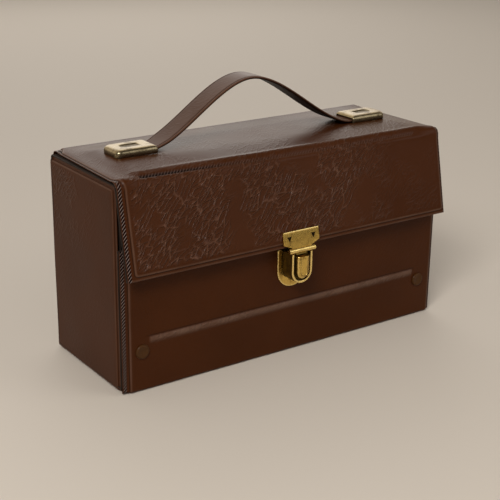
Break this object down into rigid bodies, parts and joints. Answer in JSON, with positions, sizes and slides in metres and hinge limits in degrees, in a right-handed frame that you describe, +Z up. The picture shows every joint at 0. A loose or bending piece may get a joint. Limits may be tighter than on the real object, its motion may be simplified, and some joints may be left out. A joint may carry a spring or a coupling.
{
  "type": "tape cartridge carrying case",
  "caption": "Slim vinyl-covered carrying case with a hinged lid, a hanging front flap, a brass tuck lock, a strap handle in metal caps and slots inside for tape cartridges.",
  "frame": {"origin": "middle of the underside, where the case stands on a table", "axes": "+X along the length, to the right as the front is faced; -Y out of the front; +Z up"},
  "size_m": [0.318, 0.1328, 0.2285],
  "materials": {
    "brown_vinyl": "semi-gloss vinyl with a leather grain",
    "grey_board": "raw board",
    "dark_lining": "matt vinyl",
    "brass": "polished, worn",
    "pale_brass": "polished, worn pale",
    "spring_steel": "plain",
    "tray_plastic": "moulded, matt"
  },
  "bodies": {
    "case": {"front_skin": "brown_vinyl", "front_board": "grey_board", "front_lining": "dark_lining", "bottom_skin": "brown_vinyl", "bottom_board": "grey_board", "bottom_lining": "dark_lining", "back_skin": "brown_vinyl", "back_board": "grey_board", "back_lining": "dark_lining", "left_side_skin": "brown_vinyl", "left_side_board": "grey_board", "left_side_lining": "dark_lining", "right_side_skin": "brown_vinyl", "right_side_board": "grey_board", "right_side_lining": "dark_lining", "front_bottom_fold": "brown_vinyl", "back_bottom_fold": "brown_vinyl", "tray_floor": "tray_plastic", "tray_front": "tray_plastic", "tray_back": "tray_plastic", "tray_left": "tray_plastic", "tray_right": "tray_plastic", "divider_01": "tray_plastic", "divider_02": "tray_plastic", "divider_03": "tray_plastic", "divider_04": "tray_plastic", "divider_05": "tray_plastic", "divider_06": "tray_plastic", "divider_07": "tray_plastic", "divider_08": "tray_plastic", "divider_09": "tray_plastic", "divider_10": "tray_plastic", "divider_11": "tray_plastic", "tray_rivet_left": "brown_vinyl", "tray_rivet_right": "brown_vinyl", "lock_base": "brass", "lock_body": "brass", "lock_face": "brass", "lock_spring": "spring_steel", "lock_backing": "spring_steel"},
    "lid": {"lid_skin": "brown_vinyl", "lid_board": "grey_board", "lid_lining": "dark_lining", "lid_fold": "brown_vinyl", "flap_fold": "brown_vinyl", "handle_cap_left": "pale_brass", "handle_cap_right": "pale_brass", "handle_backing_left": "spring_steel", "handle_backing_right": "spring_steel"},
    "flap": {"flap_skin": "brown_vinyl", "flap_board": "grey_board", "flap_lining": "dark_lining", "hasp_plate": "brass", "hasp_backing": "spring_steel"},
    "button": {"lock_button": "brass"},
    "strap": {"handle_strap": "brown_vinyl"},
    "left_stop": {"strap_stop_left": "spring_steel"},
    "right_stop": {"strap_stop_right": "spring_steel"}
  },
  "joints": [
    {"name": "lid_hinge", "type": "hinge", "parent": "case", "child": "lid", "pos_m": [0, 0.05612, 0.17062], "axis": [-1, 0, 0], "range_deg": [0, 210], "deforming": ["lid_fold"]},
    {"name": "flap_hinge", "type": "hinge", "parent": "lid", "child": "flap", "pos_m": [0, -0.0542, 0.1709], "axis": [-1, 0, 0], "range_deg": [0, 190], "deforming": ["flap_fold"]},
    {"name": "lock_button_push", "type": "slide", "parent": "case", "child": "button", "axis": [0, 1, 0], "range_m": [0, 0.002], "stiffness_N_per_m": 600, "deforming": ["lock_spring"]},
    {"name": "handle_drop", "type": "slide", "parent": "lid", "child": "strap", "axis": [0, 0, -1], "range_m": [0, 0.027], "stiffness_N_per_m": 400, "deforming": ["handle_strap"]},
    {"name": "left_stop_slide", "type": "slide", "parent": "lid", "child": "left_stop", "axis": [-1, 0, 0], "range_m": [0, 0.0112]},
    {"name": "right_stop_slide", "type": "slide", "parent": "lid", "child": "right_stop", "axis": [1, 0, 0], "range_m": [0, 0.0112]}
  ],
  "couplings": [
    {"joint": "left_stop_slide", "follows": "handle_drop", "ratio": 0.40741},
    {"joint": "right_stop_slide", "follows": "handle_drop", "ratio": 0.40741}
  ]
}
